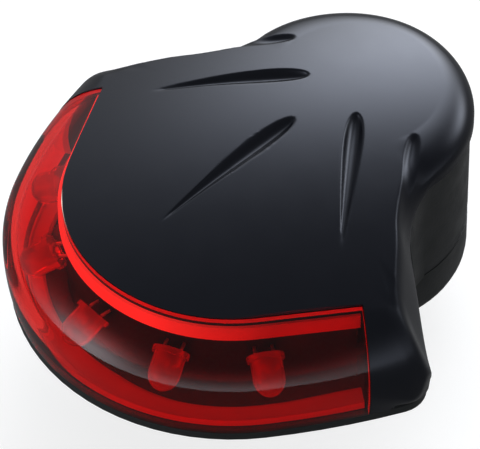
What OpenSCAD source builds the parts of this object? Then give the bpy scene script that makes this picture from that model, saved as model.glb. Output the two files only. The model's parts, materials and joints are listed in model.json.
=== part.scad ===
// Bike rear light with a wrap round red lens, a domed black cap and a belt clip underneath.
// Millimetres, +Z up, the lens faces -Y, the round boss is at +Y, the clip rests on Z = 0.

/* [Lens] */
// Radius of the curved cap edge above the lens
edge_r = 24; // [23.6:0.1:25]
// Half angle of the curved part of the lens
lens_half_angle = 58; // [56:1:60]
// Length of the straight part at each end of the lens
lens_straight = 14.7; // [13.5:0.1:15.5]
// How far the lens bulges out from the cap edge
lens_bulge = 8.5; // [8.2:0.1:9.5]
// Drop from the cap edge to the widest line of the lens
lens_shoulder = 8.4; // [7:0.1:9]
// Height of the lens from the housing rim to the cap edge
lens_h = 15; // [14.8:0.1:15.6]
// Wall of the lens
lens_wall = 1.8; // [1.4:0.1:2]
// Wall of the lens at its upper edge
lens_lip = 0.8; // [0.7:0.1:1]
// Inward draft of the lens and ears at the bottom
lens_draft = 0.8; // [0.4:0.1:1.2]
// How far the widest line of the lens is drawn in at its ends
lens_end_in = 1; // [0.8:0.1:1.2]
// How far the widest line of the lens drops at its ends
lens_end_drop = 2.5; // [2.2:0.1:2.8]

/* [Cap] */
// Radius of the round boss at the rear
boss_r = 18.6; // [18.4:0.1:19.2]
// Distance from the boss centre back to the rear end of the battery bay
boss_back = 11.6; // [11.4:0.1:11.8]
// Height of the dome over the cap edge
dome_h = 8.2; // [7.5:0.1:9.5]
// Fall of the dome to the sides, as a multiple of its fall to the front
side_fall = 1.9; // [1.8:0.05:2]
// Wall of the cap
cap_wall = 2; // [1.6:0.1:2.4]
// Height of the boss rim above the level of the cap edge
rim_rise = 2.1; // [1.9:0.1:2.4]
// Width of the rounded shoulder of the boss
boss_shoulder = 4; // [3.6:0.1:4.4]
// Corner radius of the ears in plan
ear_r = 4.7; // [4.2:0.1:5.2]
// Run of the ears past the lens ends
ear_run = 5.8; // [5.4:0.1:6.2]
// Direction of the flanks, from the long axis
flank_angle = 60; // [58:1:62]
// Radius of the hollow waist between flank and boss
waist_r = 10.6; // [10:0.2:12]
// Depth of the teardrop grooves
groove_depth = 0.8; // [0.5:0.1:1.1]
// Width of the teardrop grooves
groove_w = 3.4; // [2.6:0.1:4]

/* [Housing] */
// Wall of the housing
housing_wall = 1.6; // [1.4:0.1:1.8]
// Step from the cap rim in to the housing wall
housing_step = 0.5; // [0.3:0.1:0.7]
// Thickness of the housing floor, seen as a rim under the lens
rim_h = 1.4; // [1.2:0.1:1.6]
// Height of the lens bottom above the underside of the battery cover
lens_lift = 9.7; // [9.5:0.1:10]
// Wall of the battery bay
bay_wall = 1.2; // [1:0.1:1.3]

/* [Battery cover] */
// Height of the battery cover
cover_h = 8.4; // [8:0.1:8.8]
// Floor of the battery cover
cover_floor = 2; // [1.8:0.1:2.1]
// Wall of the battery cover
cover_wall = 2; // [1.6:0.1:2.2]
// Radius of the rounded lower edge of the cover
cover_round = 3.2; // [2.6:0.1:3.4]
// Distance of the cover's front edge before the centre of the lens curve
cover_front = 18; // [17.6:0.1:18.2]
// Plan radius of the front corners of the cover
cover_corner = 12; // [11.8:0.1:13]
// Height of the gasket band
gasket_h = 1.8; // [1.6:0.1:2.2]
// Diameter of the cover screw
cover_screw_d = 2.6; // [2.4:0.1:2.7]
// Diameter of the cover screw's head
cover_head_d = 4.4; // [4.2:0.1:4.6]
// Diameter of the locating pegs on the cover
peg_d = 2.4; // [2:0.1:2.6]

/* [Cells] */
// Diameter of a cell
cell_d = 10.5; // [10.2:0.1:10.6]
// Length of a cell with its nub
cell_l = 44.5; // [43.5:0.1:46]
// Length of a contact spring in place
spring_l = 2.5; // [2.3:0.1:2.7]
// Wire of a contact spring
spring_wire = 0.5; // [0.4:0.05:0.55]
// Thickness of the contact plates
plate_t = 0.5; // [0.4:0.05:0.6]

/* [Diodes] */
// Number of diodes in the fan
led_count = 5; // [3:2:5]
// Angle from one diode to the next
led_step = 30; // [27:1:30]
// Diameter of a diode's body
led_d = 4.6; // [4.2:0.1:4.8]
// Diameter of a diode's flange
led_flange_d = 5.4; // [5.1:0.1:5.6]
// Length of a diode with its flange
led_l = 5.8; // [5.4:0.1:6]
// Tilt of the diodes below level
led_tilt = 30; // [26:1:32]
// Diameter of a diode leg
leg_d = 0.5; // [0.4:0.05:0.6]
// Distance between the two legs
leg_gap = 2.5; // [1.8:0.1:2.6]

/* [Board and button] */
// Thickness of the circuit board
board_t = 1.6; // [1:0.1:1.7]
// Diameter of the push button
button_d = 6.8; // [6:0.1:7]
// Travel of the push button
button_travel = 0.9; // [0.6:0.1:1]
// Diameter of the case screws
case_screw_d = 1.6; // [1.4:0.1:1.8]

/* [Clip] */
// Width of the clip
clip_w = 20; // [16:1:24]
// Thickness of the clip
clip_t = 2; // [1.6:0.1:2.2]
// Gap between the clip's tongue and the cover
clip_gap = 4.8; // [4.6:0.1:6]
// Length of the clip's tongue from the bend
clip_l = 34; // [28:1:38]
// Height of the catch ridge on the tongue
catch_h = 0.9; // [0.5:0.1:1.2]

/* [Fits] */
// Radial clearance of pieces that slide or turn
run_gap = 0.05; // [0.03:0.01:0.08]
// Clearance between pieces that only sit beside each other
seat_gap = 0.1; // [0.05:0.01:0.15]

/* [Hidden] */
$fn = 64;
eps = 0.01;

// Ends of the battery bay, and the boss behind the centre of the lens curve
bay_front = -15.4;
bay_rear = bay_front + plate_t + spring_l + cell_l + plate_t;
boss_y = bay_rear - boss_back;

// Levels, measured up from the underside of the battery cover
z_seam = cover_h + gasket_h;
z_lens = lens_lift;
z_rim = z_lens - rim_h;
z_edge = z_lens + lens_h;
z_bulge = z_edge - lens_shoulder;
z_top = z_edge + dome_h;
z_skirt = z_edge + rim_rise;
dome_c = dome_h / pow(boss_y + edge_r, 2);

// Plan of the outside, right half
half = lens_half_angle;
out_r = edge_r + lens_bulge;
nor_f = [sin(half), -cos(half)];
tan_f = [cos(half), sin(half)];
p_arc = out_r * nor_f;
end_run = lens_straight + ear_run;
function end_f(u) = pow(max(u, 0) / lens_straight, 2);
function side_w(u) = lens_bulge - lens_end_in * end_f(u);
function side_h(u) = min(lens_shoulder + lens_end_drop * end_f(u), lens_h - 1);
function side_pt(u) = (edge_r + side_w(u)) * nor_f + u * tan_f;
ear_turn = half - 90 + atan(2 * lens_end_in * end_run / pow(lens_straight, 2));
p_ear0 = side_pt(end_run);
c_ear = p_ear0 - ear_r * [cos(ear_turn), sin(ear_turn)];
nor_k = [cos(flank_angle), sin(flank_angle)];
tan_k = [-sin(flank_angle), cos(flank_angle)];
p_ear1 = c_ear + ear_r * nor_k;
boss_c = [0, boss_y];
q_waist = p_ear1 + waist_r * nor_k - boss_c;
qt = q_waist * tan_k;
flank_l = -qt - sqrt(qt * qt - q_waist * q_waist + pow(boss_r + waist_r, 2));
p_flank = p_ear1 + flank_l * tan_k;
c_waist = p_flank + waist_r * nor_k;
beta = atan2(c_waist[1] - boss_y, c_waist[0]);
y_front = -out_r;
y_rear = boss_y + boss_r;

// The part's own frame: middle of the plan, on the clip's underside
clip_drop = clip_gap + clip_t;
y_shift = -(y_front + y_rear) / 2;
z_shift = clip_drop;

// Outline points of the right half, rear to front, each with a place number from 0 to 6
n_boss = 14;
n_waist = 6;
n_ear = 7;
n_line = 5;
n_arc = 12;
half_line = concat(
    [for (i = [0 : n_boss]) let (a = 90 + (beta - 90) * i / n_boss)
        [boss_c + boss_r * [cos(a), sin(a)], i / n_boss]],
    [for (i = [1 : n_waist]) let (a = beta + (flank_angle - beta) * i / n_waist)
        [c_waist - waist_r * [cos(a), sin(a)], 1 + i / n_waist]],
    [for (i = [1 : 2]) [p_flank + (p_ear1 - p_flank) * i / 3, 2 + i / 3]],
    [for (i = [0 : n_ear]) let (a = flank_angle + (ear_turn - flank_angle) * i / n_ear)
        [c_ear + ear_r * [cos(a), sin(a)], 3 + i / n_ear]],
    [for (i = [1 : n_line]) [side_pt(end_run * (1 - i / n_line)), 4 + i / n_line]],
    [for (i = [1 : n_arc]) let (a = half * (1 - i / n_arc))
        [out_r * [sin(a), -cos(a)], 5 + i / n_arc]]
);
m = len(half_line);
ring_n = 2 * m - 2;
outline = concat(
    half_line,
    [for (i = [m - 2 : -1 : 1]) [[-half_line[i][0][0], half_line[i][0][1]], half_line[i][1]]]
);

// What changes along the outline
function end_u(k) = end_run * (5 - k);
function shoulder_w(k) = k > 4 && k < 5 ? side_w(end_u(k)) : lookup(k, [
    [0, boss_shoulder], [1, boss_shoulder + 2.3], [2, boss_shoulder + 6.1],
    [3, lens_bulge + 6.3], [4, side_w(end_run)], [5, lens_bulge], [6, lens_bulge]]);
function widest_z(k) = k > 4 && k < 5 ? z_edge - side_h(end_u(k)) : lookup(k, [
    [0, z_skirt + 1.1], [1, z_skirt + 0.9], [2, z_bulge + 1.7],
    [3, z_lens + 0.8], [4, z_edge - side_h(end_run)], [5, z_bulge], [6, z_bulge]]);
function start_angle(k) = lookup(k, [[0, 12], [1, 12], [2, 18], [3, 30], [4, 28], [5, 30], [6, 30]]);
function draft_w(k) = lookup(k, [[0, 0.1], [2, 0.3], [3, lens_draft], [6, lens_draft]]);
function shell_w(k) = lookup(k, [
    [0, cap_wall], [2, cap_wall], [3, cap_wall + 3], [4.2, cap_wall + 3],
    [4.6, cap_wall], [6, cap_wall]]);
function spine_y(k) = lookup(k, [
    [0, boss_y], [1, boss_y], [2, boss_y * 0.7], [3, boss_y * 0.35], [4, boss_y * 0.2], [5, 0], [6, 0]]);

// Height of the dome over the plan
function dome_z(p) = z_top - dome_c * (side_fall * p[0] * p[0] + pow(p[1] - boss_y, 2));
function spine(k) = [0, spine_y(k)];
function inward(o) = let (d = spine(o[1]) - o[0]) d / norm(d);
function inset_pt(o, w) = o[0] + w * inward(o);

// Rings of the cap's outer skin from the bottom edge over the shoulder to the spine
skin_steps = 6;
top_steps = [0.2, 0.42, 0.64, 0.82, 0.93];
function skin_low(o, wall, z) = concat(inset_pt(o, draft_w(o[1]) + wall), [z]);
function skin_side(o, wall, drop, s) = let (
    k = o[1],
    a0 = start_angle(k),
    a = 90 + (a0 - 90) * s,
    w = shoulder_w(k),
    f = (sin(a) - sin(a0)) / (1 - sin(a0)),
    ze = dome_z(inset_pt(o, w + wall)) - drop,
    z = widest_z(k) + (ze - widest_z(k)) * cos(a) / cos(a0)
) concat(inset_pt(o, wall + w * (1 - f)), [z]);
function skin_top(o, wall, drop, t) = let (
    e = inset_pt(o, shoulder_w(o[1]) + wall),
    p = e + (spine(o[1]) - e) * t
) concat(p, [dome_z(p) - drop]);
skin_out = concat(
    [for (o = outline) skin_low(o, 0, z_lens)],
    [for (s = [0 : skin_steps]) for (o = outline) skin_side(o, 0, 0, s / skin_steps)],
    [for (t = top_steps) for (o = outline) skin_top(o, 0, 0, t)]
);
in_steps = 4;
skin_in = concat(
    [for (o = outline) skin_low(o, shell_w(o[1]), z_lens)],
    [for (s = [0 : in_steps]) for (o = outline) skin_side(o, shell_w(o[1]), cap_wall, s / in_steps)],
    [for (t = top_steps) for (o = outline) skin_top(o, shell_w(o[1]), cap_wall, t)]
);
rings_out = 2 + skin_steps + len(top_steps);
rings_in = 2 + in_steps + len(top_steps);
function left_of(i) = (ring_n - i) % ring_n;
function flip(f, on) = on ? [f[2], f[1], f[0]] : f;
function wall_faces(b, rings, inner) = [
    for (j = [0 : rings - 2]) for (i = [0 : ring_n - 1]) let (
        n = (i + 1) % ring_n,
        lo = b + j * ring_n,
        hi = lo + ring_n
    ) each [flip([lo + n, hi + n, hi + i], inner), flip([lo + n, hi + i, lo + i], inner)]];
function roof_faces(b, inner) = concat(
    [flip([b, b + 1, b + left_of(1)], inner)],
    [for (i = [1 : m - 3]) each [
        flip([b + i, b + i + 1, b + left_of(i + 1)], inner),
        flip([b + i, b + left_of(i + 1), b + left_of(i)], inner)]],
    [flip([b + m - 2, b + m - 1, b + left_of(m - 2)], inner)]
);
in_base = len(skin_out);
shell_faces = concat(
    wall_faces(0, rings_out, false),
    roof_faces((rings_out - 1) * ring_n, false),
    wall_faces(in_base, rings_in, true),
    roof_faces(in_base + (rings_in - 1) * ring_n, true),
    [for (i = [0 : ring_n - 1]) let (n = (i + 1) % ring_n)
        each [[n, i, in_base + i], [n, in_base + i, in_base + n]]]
);

// Cap edge over the lens, moved out by d, from the left end to the right end
function edge_side(d, run) = concat(
    [for (i = [0 : 24]) (edge_r + d) * [sin(half * i / 24), -cos(half * i / 24)]],
    [(edge_r + d) * nor_f + run * tan_f]
);
function edge_line(d, run) = let (r = edge_side(d, run)) concat(
    [for (i = [len(r) - 1 : -1 : 1]) [-r[i][0], r[i][1]]],
    r
);
far = 60;
end_r = edge_r * nor_f + lens_straight * tan_f;

// Diodes, inner wall behind them and the ring on that wall, as distances from the cap edge
led_room = lens_bulge - lens_wall - 0.15;
led_back = edge_r + led_room - led_d / 2 - (led_l - led_d / 2) * cos(led_tilt);
wall_out = led_back - edge_r - led_flange_d / 2 * sin(led_tilt) - 0.25;
wall_in = wall_out - 1.1;
ring_in = 0.05;
ring_out = 0.5;
ring_up = 2.5;
ring_foot = 0.5;
wall_run = lens_straight - 0.6;

// Places inside
z_board = z_edge - 6.1;
z_wall = z_edge - 3.8;
z_led = z_board - leg_d / 2 - 0.15;
leg_end = led_back - leg_d / 2 * tan(led_tilt) - eps;
cell_x = cell_d / 2 + 0.3;
z_cell = z_board - 0.95 - cell_d / 2;
bay_x = cell_x + cell_d / 2 + 0.3;
bay_side = 7;
plate_x = 9;
contact_h = 7;
contact_low = 3;
contact_x = 2.7;
post_h = 7;
rib_h = z_cell - cell_d / 2 - 0.2 - cover_floor + 0.5;
rib_ys = [-2, 20];
nub_d = 3.8;
nub_l = 1;
body_r = boss_r - housing_step;
cavity_r = body_r - housing_wall;
cover_side = bay_x + bay_side;
screw_y = bay_rear + 0.8;
case_spots = [[cavity_r - 1.75, boss_y], [22.5, 3]];
case_base = [z_seam, z_rim];
case_posts = [1.6, 2.4];
case_h = 4;
board_spot = [14.2, 2];
peg_spot = [cover_side - cover_wall - peg_d / 2 - 0.4, -4];
peg_in = 2.5;
deck_h = 1.4;
board_r = edge_r - 3.4;
leg_r = board_r - 0.6;
z_button = z_board + board_t + 1.8;
flange_t = 1;
flange_r = button_d / 2 + 1;
pad_w = 2 * flange_r + 2.4;
pad_low = flange_r + 1;
pad_h = 2 * flange_r + 0.8;
pad_y = boss_y + cavity_r - 0.8;
switch_w = 6;
switch_d = 3.5;
switch_h = 3.6;
plunger_l = 0.9;
switch_y = pad_y - flange_t - button_travel - seat_gap - plunger_l - switch_d;
rivet_x = 6;
clip_base = 12;
clip_front = -12;
rivet_y = clip_front + clip_base / 2;

module place() translate([0, y_shift, z_shift]) children();
module both() {
    children();
    mirror([1, 0, 0]) children();
}

// Band along the cap edge, from d0 to d1 outside it
module edge_band(d0, d1, run) {
    outer = edge_line(d1, run);
    inner = edge_line(d0, run);
    polygon(concat(outer, [for (i = [len(inner) - 1 : -1 : 0]) inner[i]]));
}

// Plan of everything that lies outside the cap edge, between the lens ends
module lens_zone(d, run) {
    out = end_r + far * nor_f + (run - lens_straight) * tan_f;
    polygon(concat(edge_line(d, run), [out, [far, -far], [-far, -far], [-out[0], out[1]]]));
}

// Side view of the space under the cap's rear skirt
module skirt_view(up) {
    ear_x = p_ear1[0];
    polygon([
        [-ear_x, z_lens + up], [-boss_r, z_skirt + up], [boss_r, z_skirt + up], [ear_x, z_lens + up],
        [ear_x, -far], [-ear_x, -far]]);
}
skirt_front = [[far, -1], [24, -1], [17, 6], [-17, 6], [-24, -1], [-far, -1]];
module under_skirt(up, back) {
    intersection() {
        translate([0, far, 0]) rotate([90, 0, 0]) linear_extrude(2 * far) skirt_view(up);
        translate([0, back, -far]) linear_extrude(3 * far)
            polygon(concat([[-far, far], [far, far]], skirt_front));
    }
}

// Teardrop scoop along a line from a to b, with the heights of the skin at a, half way and at b
module scoop(a, b, h) {
    d = b - a;
    lift = groove_w / 2 - groove_depth;
    translate(concat((a + b) / 2, [h[1] + lift]))
        rotate([0, 0, atan2(d[1], d[0])])
            rotate([0, -atan2(h[2] - h[0], norm(d)), 0])
                scale([norm(d) / groove_w, 1, 1])
                    sphere(d = groove_w, $fn = 28);
}
function on_dome(a, b) = [dome_z(a), dome_z((a + b) / 2), dome_z(b)];
groove_mid = [[0, -16.2], [0, 14.4]];
groove_side = [[22.6, 0.2], [3.2, 20.8]];
groove_flank = [[24.2, 9.8], [11.7, 24.5]];
flank_h = [z_edge + 0.45, z_edge + 3.9, z_edge + 7.65];

module top_cap() {
    color([0.1, 0.1, 0.12]) place() difference() {
        union() {
            difference() {
                polyhedron(concat(skin_out, skin_in), shell_faces, convexity = 8);
                translate([0, 0, z_lens - 1]) linear_extrude(far)
                    lens_zone(-seat_gap, lens_straight + seat_gap);
                under_skirt(0, 0);
                scoop(groove_mid[0], groove_mid[1], on_dome(groove_mid[0], groove_mid[1]));
                both() scoop(groove_side[0], groove_side[1], on_dome(groove_side[0], groove_side[1]));
                both() scoop(groove_flank[0], groove_flank[1], flank_h);
            }
            both() for (i = [0, 1]) {
                foot = case_base[i] + case_h + run_gap;
                head = dome_z(case_spots[i]) - cap_wall / 2 - 0.35 * case_posts[i];
                translate(concat(case_spots[i], [foot])) cylinder(r = case_posts[i], h = head - foot);
            }
        }
        both() for (i = [0, 1]) translate(concat(case_spots[i], [case_base[i] + case_h - 1]))
            cylinder(d = case_screw_d + 2 * run_gap, h = 6.2);
    }
}

// Side of the lens drawn in by d and down by lip, at u along its straight end:
// distance from the curve's centre, height
function lens_side(d, lip, u) = concat(
    [for (i = [0 : 12]) let (a = 30 + 5 * i) [
        edge_r + (side_w(u) - d) * (sin(a) - 0.5) / 0.5,
        z_edge - side_h(u) + (side_h(u) - lip) * cos(a) / cos(30)]],
    [[edge_r + side_w(u) - d - lens_draft, z_lens]]
);
lens_arc_n = 32;
lens_end_n = 4;
lens_stations = concat(
    [for (i = [lens_end_n : -1 : 1]) [-half, lens_straight * i / lens_end_n]],
    [for (i = [0 : lens_arc_n]) [half * (2 * i / lens_arc_n - 1), 0]],
    [for (i = [1 : lens_end_n]) [half, lens_straight * i / lens_end_n]]
);
function lens_pt(st, q) = concat(
    q[0] * [sin(st[0]), -cos(st[0])] + st[1] * [cos(st[0]), sin(st[0])] * sign(st[0]),
    [q[1]]
);
function lens_ring(st) = let (inner = lens_side(lens_wall, lens_lip, st[1])) concat(
    [for (q = lens_side(0, 0, st[1])) lens_pt(st, q)],
    [for (i = [len(inner) - 1 : -1 : 0]) lens_pt(st, inner[i])]
);
module lens() {
    pts = [for (st = lens_stations) each lens_ring(st)];
    n = len(lens_ring(lens_stations[0]));
    last = (len(lens_stations) - 1) * n;
    faces = concat(
        [for (j = [0 : len(lens_stations) - 2]) for (i = [0 : n - 1]) let (
            k = (i + 1) % n,
            lo = j * n,
            hi = lo + n
        ) each [[lo + i, lo + k, hi + k], [lo + i, hi + k, hi + i]]],
        [for (i = [0 : n / 2 - 2]) each [
            [i, n - 1 - i, i + 1], [i + 1, n - 1 - i, n - 2 - i],
            [last + i, last + i + 1, last + n - 1 - i],
            [last + i + 1, last + n - 2 - i, last + n - 1 - i]]]
    );
    color([0.85, 0.05, 0.06, 0.6]) place() polyhedron(pts, faces, convexity = 6);
}

// Plan of the housing, drawn in from the outline
module plan(w) polygon([for (o = outline) inset_pt(o, w)]);
module bay_plan() {
    cell_ends = plate_t + nub_l - 2 * seat_gap;
    translate([-bay_x, bay_front + cell_ends]) square([2 * bay_x, bay_rear - bay_front - 2 * cell_ends]);
    translate([-plate_x - 0.4, bay_front]) square([2 * plate_x + 0.8, bay_rear - bay_front]);
}
module base_housing() {
    color([0.13, 0.13, 0.14]) place() difference() {
        union() {
            difference() {
                union() {
                    translate([0, 0, z_rim]) linear_extrude(rim_h - eps) plan(lens_draft + seat_gap);
                    intersection() {
                        translate([0, 0, z_rim]) linear_extrude(z_skirt) difference() {
                            plan(housing_step);
                            plan(housing_step + housing_wall);
                        }
                        under_skirt(-run_gap, seat_gap);
                    }
                    intersection() {
                        translate([0, 0, z_rim]) linear_extrude(z_seam + deck_h - z_rim)
                            polygon(cover_pts(-1.35));
                        translate([0, 0, z_rim]) linear_extrude(z_seam) plan(housing_step + eps);
                    }
                }
                translate([0, 0, -1]) linear_extrude(z_seam + 1) polygon(cover_pts(-0.15));
                translate([0, 0, z_seam - 1]) linear_extrude(deck_h + 2) bay_plan();
            }
            translate([0, 0, z_seam]) linear_extrude(z_board - z_seam) {
                both() translate([bay_x, bay_front + 2.1]) square([bay_wall, bay_rear - bay_front - 3.8]);
                translate([-plate_x - 0.5, bay_front - bay_wall]) square([2 * plate_x + 1, bay_wall]);
                both() translate([1.6, bay_rear]) square([plate_x - 1.2, bay_wall]);
            }
            translate([0, screw_y, z_seam]) cylinder(d = cover_screw_d + 1.4, h = post_h);
            translate([-pad_w / 2, pad_y, z_button - pad_low]) cube([pad_w, housing_wall, pad_h]);
            both() for (i = [0, 1])
                translate(concat(case_spots[i], [case_base[i]])) cylinder(d = 4.6, h = case_h);
            both() translate(concat(peg_spot, [z_seam])) cylinder(d = peg_d + 2.2, h = peg_in + 1);
            both() translate(concat(board_spot, [z_seam])) cylinder(d = 4.4, h = z_board - z_seam);
        }
        translate([0, screw_y, z_seam - 1]) cylinder(d = cover_screw_d + 2 * run_gap, h = post_h);
        translate([0, pad_y - 3, z_button]) rotate([-90, 0, 0])
            cylinder(d = button_d + 2 * run_gap, h = 12);
        both() for (i = [0, 1]) translate(concat(case_spots[i], [case_base[i] - 1])) {
            cylinder(d = case_screw_d + 0.2, h = 12);
            cylinder(d = 2 * case_screw_d + 0.2, h = 2.6);
        }
        both() translate(concat(board_spot, [z_board - 5]))
            cylinder(d = case_screw_d + 2 * run_gap, h = 6);
        both() translate(concat(peg_spot, [z_seam - 1]))
            cylinder(d = peg_d + 2 * run_gap, h = peg_in + 1.2);
    }
}

module reflector_ring() {
    color([0.85, 0.83, 0.8]) place() translate([0, 0, z_wall]) {
        linear_extrude(ring_up) edge_band(ring_in, ring_out, lens_straight - 0.3);
        linear_extrude(ring_foot) edge_band(wall_in, (ring_in + ring_out) / 2, lens_straight - 3);
    }
}

// Fan of diode places: angle of each from the front
led_turns = [for (i = [0 : led_count - 1]) (i - (led_count - 1) / 2) * led_step];
module led_place(a) rotate([0, 0, a]) translate([0, 0, z_led]) rotate([90, 0, 0]) children();
module led_frame() {
    color([0.06, 0.06, 0.07]) place() difference() {
        translate([0, 0, z_lens]) linear_extrude(z_wall - z_lens) edge_band(wall_in, wall_out, wall_run);
        for (a = led_turns) for (s = [-1, 1])
            led_place(a) translate([s * leg_gap / 2, 0, 0]) cylinder(d = leg_d + 0.3, h = far);
    }
}
module led(i) {
    color([0.95, 0.9, 0.88, 0.8]) place() if (i < led_count)
        led_place(led_turns[i]) translate([0, 0, led_back]) rotate([led_tilt, 0, 0]) {
            cylinder(d = led_flange_d, h = 0.8);
            cylinder(d = led_d, h = led_l - led_d / 2);
            translate([0, 0, led_l - led_d / 2]) sphere(d = led_d);
        }
}
module led_1() led(0);
module led_2() led(1);
module led_3() led(2);
module led_4() led(3);
module led_5() led(4);
module led_legs() {
    color([0.75, 0.75, 0.75]) place() for (a = led_turns) for (s = [-1, 1]) {
        led_place(a) translate([s * leg_gap / 2, 0, leg_r]) {
            cylinder(d = leg_d, h = leg_end - leg_r, $fn = 24);
            sphere(d = leg_d, $fn = 24);
        }
        rotate([0, 0, a]) translate([s * leg_gap / 2, -leg_r, z_led])
            cylinder(d = leg_d, h = z_board + board_t + 0.5 - z_led, $fn = 24);
    }
}

module circuit_board() {
    color([0.1, 0.35, 0.2]) place() difference() {
        translate([0, 0, z_board]) linear_extrude(board_t) {
            intersection() {
                circle(r = board_r);
                translate([-far, -far]) square([2 * far, far + board_spot[1] + 3]);
            }
            translate([-bay_x - 0.9, 0]) square([2 * bay_x + 1.8, boss_y + 8.5]);
            translate([-5, 0]) square([10, switch_y + switch_d]);
        }
        both() for (i = [0, 1])
            translate(concat(case_spots[i], [z_board - 1])) cylinder(r = case_posts[i] + 0.3, h = 5);
        both() translate(concat(board_spot, [z_board - 1])) cylinder(d = case_screw_d + 0.2, h = 5);
        for (a = led_turns) for (s = [-1, 1])
            rotate([0, 0, a]) translate([s * leg_gap / 2, -leg_r, z_board - 1])
                cylinder(d = leg_d + 0.2, h = 5, $fn = 24);
    }
}
chip_size = [5, 4, 1.3];
chip_y = -9;
resistor_size = [2, 1.2, 0.6];
resistor_step = 4;
resistor_y = -15;
can_d = 4;
can_h = 3.6;
can_spot = [-7, 4];
module driver_chip() {
    color([0.08, 0.08, 0.08]) place()
        translate([-chip_size[0] / 2, chip_y, z_board + board_t]) cube(chip_size);
}
module board_parts() {
    color([0.6, 0.5, 0.35]) place() translate([0, 0, z_board + board_t]) {
        for (i = [-2 : 2])
            translate([resistor_step * i - resistor_size[0] / 2, resistor_y, 0]) cube(resistor_size);
        translate(can_spot) cylinder(d = can_d, h = can_h);
    }
}
module push_switch() {
    color([0.2, 0.2, 0.2]) place() {
        translate([-switch_w / 2, switch_y, z_board + board_t]) cube([switch_w, switch_d, switch_h]);
        translate([0, switch_y + switch_d, z_button]) rotate([-90, 0, 0])
            cylinder(d = 2.2, h = plunger_l);
    }
}
module screw_up(l, head) {
    cylinder(d = case_screw_d, h = l);
    translate([0, 0, -head]) cylinder(d = 2 * case_screw_d, h = head);
}
module board_screws() {
    color([0.7, 0.7, 0.7]) place() both()
        translate(concat(board_spot, [z_board + board_t])) mirror([0, 0, 1]) screw_up(5.5, 1.2);
}
module case_screws() {
    color([0.6, 0.6, 0.62]) place() both() for (i = [0, 1])
        translate(concat(case_spots[i], [case_base[i] + 1.6])) screw_up(7, 1.2);
}

// A cell with its nub towards +Y, standing on y = 0
module cell() {
    rotate([-90, 0, 0]) {
        cylinder(d = cell_d, h = cell_l - nub_l);
        cylinder(d = nub_d, h = cell_l);
    }
}
module cell_left() {
    color([0.2, 0.2, 0.22]) place()
        translate([-cell_x, bay_front + plate_t + spring_l, z_cell]) cell();
}
module cell_right() {
    color([0.2, 0.2, 0.22]) place()
        translate([cell_x, bay_rear - plate_t - spring_l, z_cell]) mirror([0, 1, 0]) cell();
}

// Conical contact spring along +Y: one unbroken tube, wide end on the plate
spring_turns = 2.5;
spring_sides = 6;
spring_n = 40;
function coil_pt(i) = let (
    t = i / spring_n,
    r = 3.6 - 2.2 * t,
    a = 360 * spring_turns * t
) [r * cos(a), spring_wire / 2 + (spring_l - spring_wire) * t, r * sin(a)];
function coil_dir(i) = let (d = coil_pt(min(i + 1, spring_n)) - coil_pt(max(i - 1, 0))) d / norm(d);
function coil_ring(i) = let (
    d = coil_dir(i),
    n0 = cross(d, [0, 1, 0]),
    n1 = n0 / norm(n0),
    n2 = cross(d, n1)
) [for (k = [0 : spring_sides - 1]) let (a = 360 * k / spring_sides + 30)
    coil_pt(i) + spring_wire / 2 * (cos(a) * n1 + sin(a) * n2) * 0.98];
module coil() {
    pts = [for (i = [0 : spring_n]) each coil_ring(i)];
    s = spring_sides;
    faces = concat(
        [[for (k = [0 : s - 1]) k]],
        [for (i = [0 : spring_n - 1]) for (k = [0 : s - 1]) let (n = (k + 1) % s)
            each [[i * s + n, i * s + k, (i + 1) * s + k],
                [i * s + n, (i + 1) * s + k, (i + 1) * s + n]]],
        [[for (k = [s - 1 : -1 : 0]) spring_n * s + k]]
    );
    polyhedron(pts, faces, convexity = 6);
}
module spring_front() {
    color([0.8, 0.78, 0.7]) place() translate([-cell_x, bay_front + plate_t, z_cell]) coil();
}
module spring_rear() {
    color([0.8, 0.78, 0.7]) place()
        translate([cell_x, bay_rear - plate_t, z_cell]) rotate([0, 0, 180]) coil();
}
module contact_bridge() {
    color([0.8, 0.78, 0.7]) place()
        translate([-plate_x, bay_front, z_cell - contact_low]) cube([2 * plate_x, plate_t, contact_h]);
}
module contact() {
    translate([contact_x, bay_rear - plate_t, z_cell - contact_low])
        cube([plate_x - contact_x, plate_t, contact_h]);
}
module contact_left() {
    color([0.8, 0.78, 0.7]) place() mirror([1, 0, 0]) contact();
}
module contact_right() {
    color([0.8, 0.78, 0.7]) place() contact();
}

// Plan of the battery cover, drawn in by d: round at the boss, rounded corners in front
function arc_pts(c, r, a0, a1, n) = [
    for (i = [0 : n]) let (a = a0 + (a1 - a0) * i / n) c + r * [cos(a), sin(a)]];
corner_x = cover_side - cover_corner;
corner_y = -cover_front + cover_corner;
function cover_pts(d) = concat(
    arc_pts(boss_c, body_r - d, 0, 180, 36),
    arc_pts([-corner_x, corner_y], cover_corner - d, 180, 270, 9),
    arc_pts([corner_x, corner_y], cover_corner - d, 270, 360, 9)
);
cover_n = len(cover_pts(0));
cover_steps = 6;
module cover_body() {
    rings = concat(
        [for (j = [0 : cover_steps]) let (a = 90 * j / cover_steps)
            [for (p = cover_pts(cover_round * (1 - sin(a)))) concat(p, [cover_round * (1 - cos(a))])]],
        [[for (p = cover_pts(0)) concat(p, [cover_h])]]
    );
    n = cover_n;
    top = len(rings) - 1;
    faces = concat(
        [[for (i = [0 : n - 1]) i]],
        [for (j = [0 : top - 1]) for (i = [0 : n - 1]) let (k = (i + 1) % n)
            each [[j * n + i, (j + 1) * n + i, (j + 1) * n + k],
                [j * n + i, (j + 1) * n + k, j * n + k]]],
        [[for (i = [n - 1 : -1 : 0]) top * n + i]]
    );
    polyhedron([for (r = rings) each r], faces, convexity = 4);
}
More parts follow.
